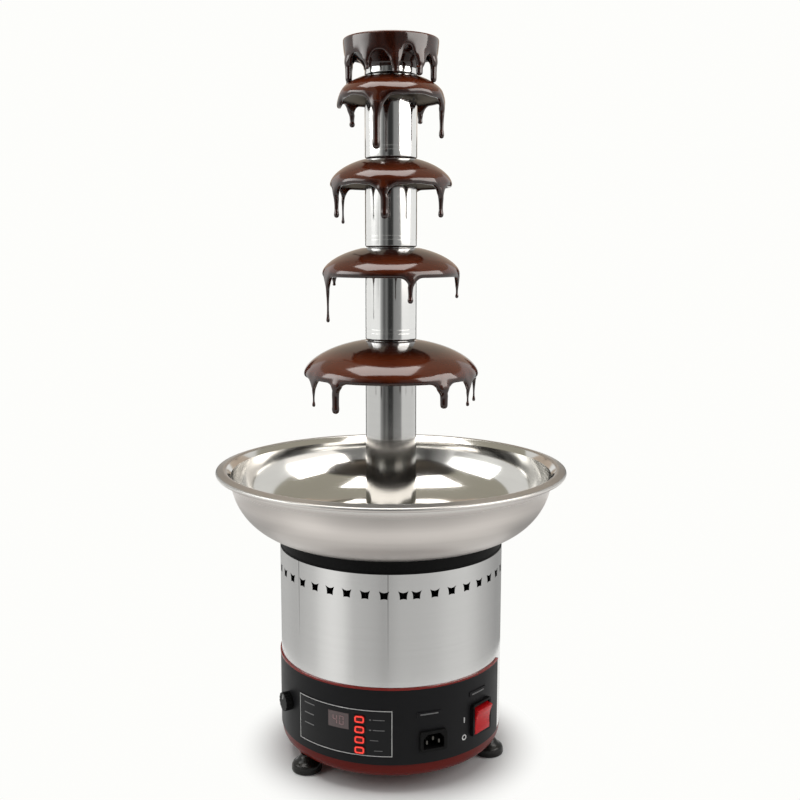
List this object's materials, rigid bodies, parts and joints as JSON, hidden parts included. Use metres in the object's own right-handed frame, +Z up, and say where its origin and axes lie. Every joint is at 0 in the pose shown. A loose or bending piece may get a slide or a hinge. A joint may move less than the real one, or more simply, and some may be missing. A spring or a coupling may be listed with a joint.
{
  "type": "chocolate fountain",
  "caption": "Free-standing chocolate fountain: a drum base with a control panel, a heated basin, and a stacked tower of coated domed tiers round a motor-driven auger.",
  "frame": {"origin": "on the floor under the tower's axis", "axes": "+Z up along the tower, -Y towards the control panel's front, +X to the right of someone facing it"},
  "size_m": [0.4, 0.4, 0.81],
  "materials": {
    "drum_steel": "satin brushed",
    "polished_steel": "polished",
    "tube_steel": "bright drawn",
    "tier_steel": "satin",
    "inner_steel": "plain",
    "zinc": "plated",
    "chocolate": "glossy liquid",
    "tray_red": "satin",
    "panel_black": "satin",
    "overlay_black": "satin film",
    "trim_red": "gloss",
    "window_smoke": "smoked",
    "board_green": "matte",
    "black_plastic": "satin",
    "blade_metal": "plated",
    "bronze": "sintered",
    "seal_rubber": "matte",
    "aluminium": "cast",
    "ceramic": "matte",
    "motor_paint": "satin",
    "copper": "enamelled",
    "gear_brass": "hobbed",
    "rotor_iron": "ground",
    "rocker_red": "gloss",
    "key_red": "lit ring",
    "foot_rubber": "satin"
  },
  "bodies": {
    "base": {"drum_shell": "drum_steel", "basin": "polished_steel", "basin_hub": "inner_steel", "locating_pins": "inner_steel", "foot_nuts": "zinc", "m4_screws": "zinc", "hub_nut": "zinc", "board_posts": "zinc", "bridge_plate": "zinc", "speed_control": "zinc", "base_tray": "tray_red", "panel_plate": "panel_black", "keypad_overlay": "overlay_black", "panel_trim": "trim_red", "display_window": "window_smoke", "control_board": "board_green", "top_collar": "black_plastic", "inlet_housing": "black_plastic", "switch_housing": "black_plastic", "inlet_pins": "blade_metal", "shaft_bushes": "bronze", "shaft_seal": "seal_rubber", "heater_ring": "aluminium", "gearbox_housing": "aluminium", "gearbox_cover": "aluminium", "thermostat": "ceramic", "motor_can": "motor_paint", "motor_stator": "copper"},
    "drive": {"drive_shaft": "inner_steel", "cross_pin": "inner_steel", "output_gear": "gear_brass"},
    "idler": {"idler_gear": "gear_brass"},
    "armature": {"motor_rotor": "rotor_iron", "motor_pinion": "rotor_iron"},
    "auger": {"auger_core": "inner_steel", "auger_flight": "inner_steel"},
    "tower_barrel": {"barrel": "inner_steel"},
    "tower_1": {"sleeve_1": "tube_steel", "tier_1": "tier_steel", "coat_1": "chocolate"},
    "tower_2": {"sleeve_2": "tube_steel", "tier_2": "tier_steel", "coat_2": "chocolate"},
    "tower_3": {"sleeve_3": "tube_steel", "tier_3": "tier_steel", "coat_3": "chocolate"},
    "tower_4": {"sleeve_4": "tube_steel", "tier_4": "tier_steel", "coat_4": "chocolate"},
    "crown": {"crown_cup": "tube_steel", "crown_coat": "chocolate"},
    "rocker": {"rocker": "rocker_red"},
    "knob": {"knob": "black_plastic"},
    "key_1": {"key_1": "key_red"},
    "key_2": {"key_2": "key_red"},
    "key_3": {"key_3": "key_red"},
    "key_4": {"key_4": "key_red"},
    "foot_left": {"foot_left": "foot_rubber"},
    "foot_right": {"foot_right": "foot_rubber"},
    "foot_rear": {"foot_rear": "foot_rubber"}
  },
  "joints": [
    {"name": "drive_spin", "type": "hinge", "parent": "base", "child": "drive", "pos_m": [0, 0, 0.22], "axis": [0, 0, 1], "continuous": true},
    {"name": "idler_spin", "type": "hinge", "parent": "base", "child": "idler", "pos_m": [0, 0.0375, 0.21], "axis": [0, 0, 1], "continuous": true},
    {"name": "motor_spin", "type": "hinge", "parent": "base", "child": "armature", "pos_m": [0, 0, 0.16], "axis": [0, 0, 1], "continuous": true},
    {"name": "auger_lift", "type": "slide", "parent": "drive", "child": "auger", "axis": [0, 0, 1], "range_m": [0, 0.08]},
    {"name": "barrel_lift", "type": "slide", "parent": "base", "child": "tower_barrel", "axis": [0, 0, 1], "range_m": [0, 0.54]},
    {"name": "tower_1_lift", "type": "slide", "parent": "tower_barrel", "child": "tower_1", "axis": [0, 0, 1], "range_m": [0, 0.55]},
    {"name": "tower_2_lift", "type": "slide", "parent": "tower_1", "child": "tower_2", "axis": [0, 0, 1], "range_m": [0, 0.33]},
    {"name": "tower_3_lift", "type": "slide", "parent": "tower_2", "child": "tower_3", "axis": [0, 0, 1], "range_m": [0, 0.225]},
    {"name": "tower_4_lift", "type": "slide", "parent": "tower_3", "child": "tower_4", "axis": [0, 0, 1], "range_m": [0, 0.13]},
    {"name": "crown_lift", "type": "slide", "parent": "tower_4", "child": "crown", "axis": [0, 0, 1], "range_m": [0, 0.045]},
    {"name": "power_rocker", "type": "hinge", "parent": "base", "child": "rocker", "pos_m": [0.09707, -0.0832, 0.0714], "axis": [-0.6508, -0.7593, 0], "range_deg": [0, 16]},
    {"name": "speed_knob", "type": "hinge", "parent": "base", "child": "knob", "pos_m": [-0.11456, -0.06091, 0.079], "axis": [-0.8829, -0.4695, 0], "range_deg": [-135, 135]},
    {"name": "key_1_press", "type": "slide", "parent": "base", "child": "key_1", "axis": [0.2588, 0.9659, 0], "range_m": [0, 0.0008], "stiffness_N_per_m": 1500},
    {"name": "key_2_press", "type": "slide", "parent": "base", "child": "key_2", "axis": [0.2588, 0.9659, 0], "range_m": [0, 0.0008], "stiffness_N_per_m": 1500},
    {"name": "key_3_press", "type": "slide", "parent": "base", "child": "key_3", "axis": [0.2588, 0.9659, 0], "range_m": [0, 0.0008], "stiffness_N_per_m": 1500},
    {"name": "key_4_press", "type": "slide", "parent": "base", "child": "key_4", "axis": [0.2588, 0.9659, 0], "range_m": [0, 0.0008], "stiffness_N_per_m": 1500},
    {"name": "foot_left_level", "type": "slide", "parent": "base", "child": "foot_left", "axis": [0, 0, -1], "range_m": [0, 0.006]},
    {"name": "foot_right_level", "type": "slide", "parent": "base", "child": "foot_right", "axis": [0, 0, -1], "range_m": [0, 0.006]},
    {"name": "foot_rear_level", "type": "slide", "parent": "base", "child": "foot_rear", "axis": [0, 0, -1], "range_m": [0, 0.006]}
  ],
  "couplings": [
    {"joint": "idler_spin", "follows": "drive_spin", "ratio": -4},
    {"joint": "motor_spin", "follows": "drive_spin", "ratio": 16}
  ]
}
